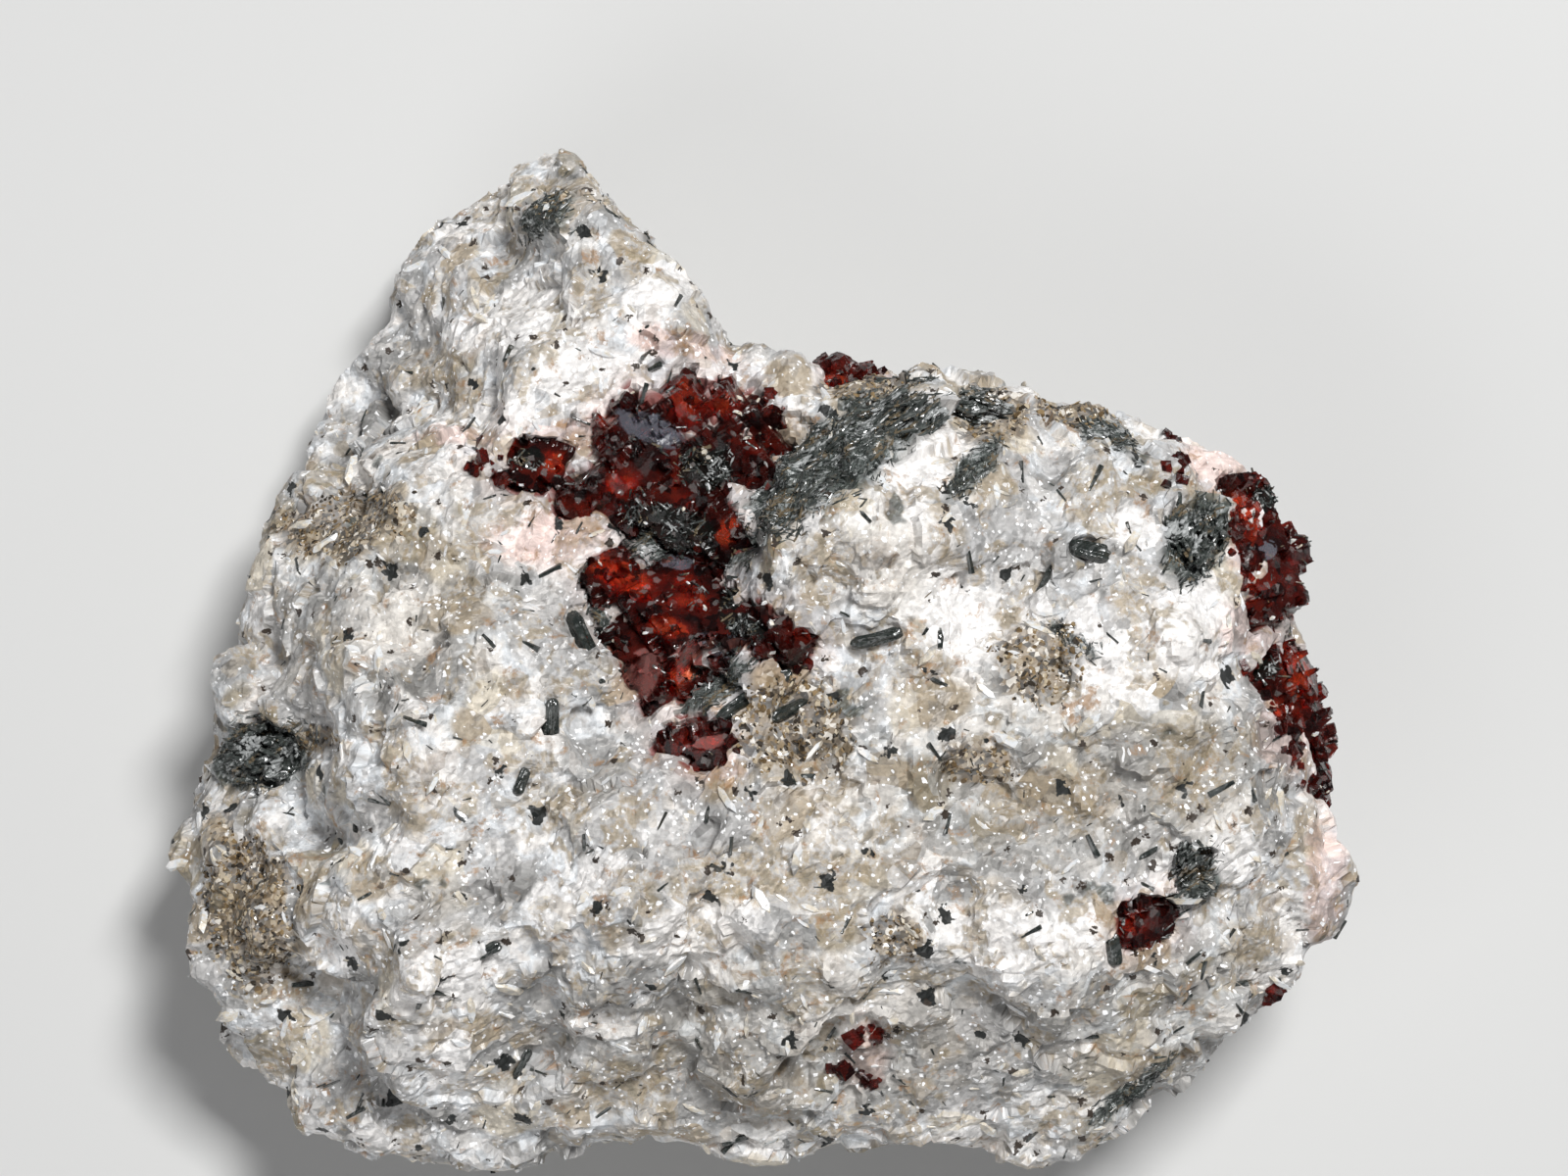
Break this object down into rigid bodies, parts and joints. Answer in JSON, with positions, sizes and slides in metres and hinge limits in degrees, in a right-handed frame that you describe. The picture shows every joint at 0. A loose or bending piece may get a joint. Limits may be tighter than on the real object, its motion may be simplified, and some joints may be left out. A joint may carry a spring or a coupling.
{
  "type": "villiaumite in matrix",
  "caption": "Hand-sized lump of pale nepheline syenite with cherry-red villiaumite masses and black aegirine set in its broken face.",
  "frame": {"origin": "on the flat resting face of the rock's underside, under the middle of its outline", "axes": "+Z out of the display face, opposite the resting face; +X along the longer side of the display face; +Y across it, towards the knob"},
  "size_m": [0.0852, 0.0747, 0.0376],
  "materials": {
    "matrix": "broken coarse-grained rock, part dull and part glinting",
    "villiaumite": "glassy cleavage faces, clear deep red",
    "aegirine": "black to dark green, glassy on its long faces"
  },
  "bodies": {
    "root": {"matrix": "matrix", "villiaumite_upper_mass": "villiaumite", "villiaumite_left_arm": "villiaumite", "villiaumite_lower_crystal": "villiaumite", "villiaumite_lower_grain": "villiaumite", "villiaumite_top_edge_grain": "villiaumite", "villiaumite_right_mass": "villiaumite", "villiaumite_right_lower_mass": "villiaumite", "villiaumite_lone_grain": "villiaumite", "aegirine_band": "aegirine", "aegirine_left_patch": "aegirine", "aegirine_right_patch": "aegirine", "aegirine_top_patch": "aegirine", "aegirine_lower_right_patch": "aegirine", "aegirine_prism_left": "aegirine", "aegirine_prism_lower_left": "aegirine", "aegirine_prism_long": "aegirine", "aegirine_prism_curved_run": "aegirine", "aegirine_prism_short_run": "aegirine", "aegirine_prism_middle": "aegirine", "aegirine_prism_right": "aegirine", "aegirine_prism_slanted": "aegirine", "aegirine_prism_lower_right": "aegirine", "aegirine_prism_bottom": "aegirine", "aegirine_prism_corner": "aegirine"}
  },
  "joints": []
}
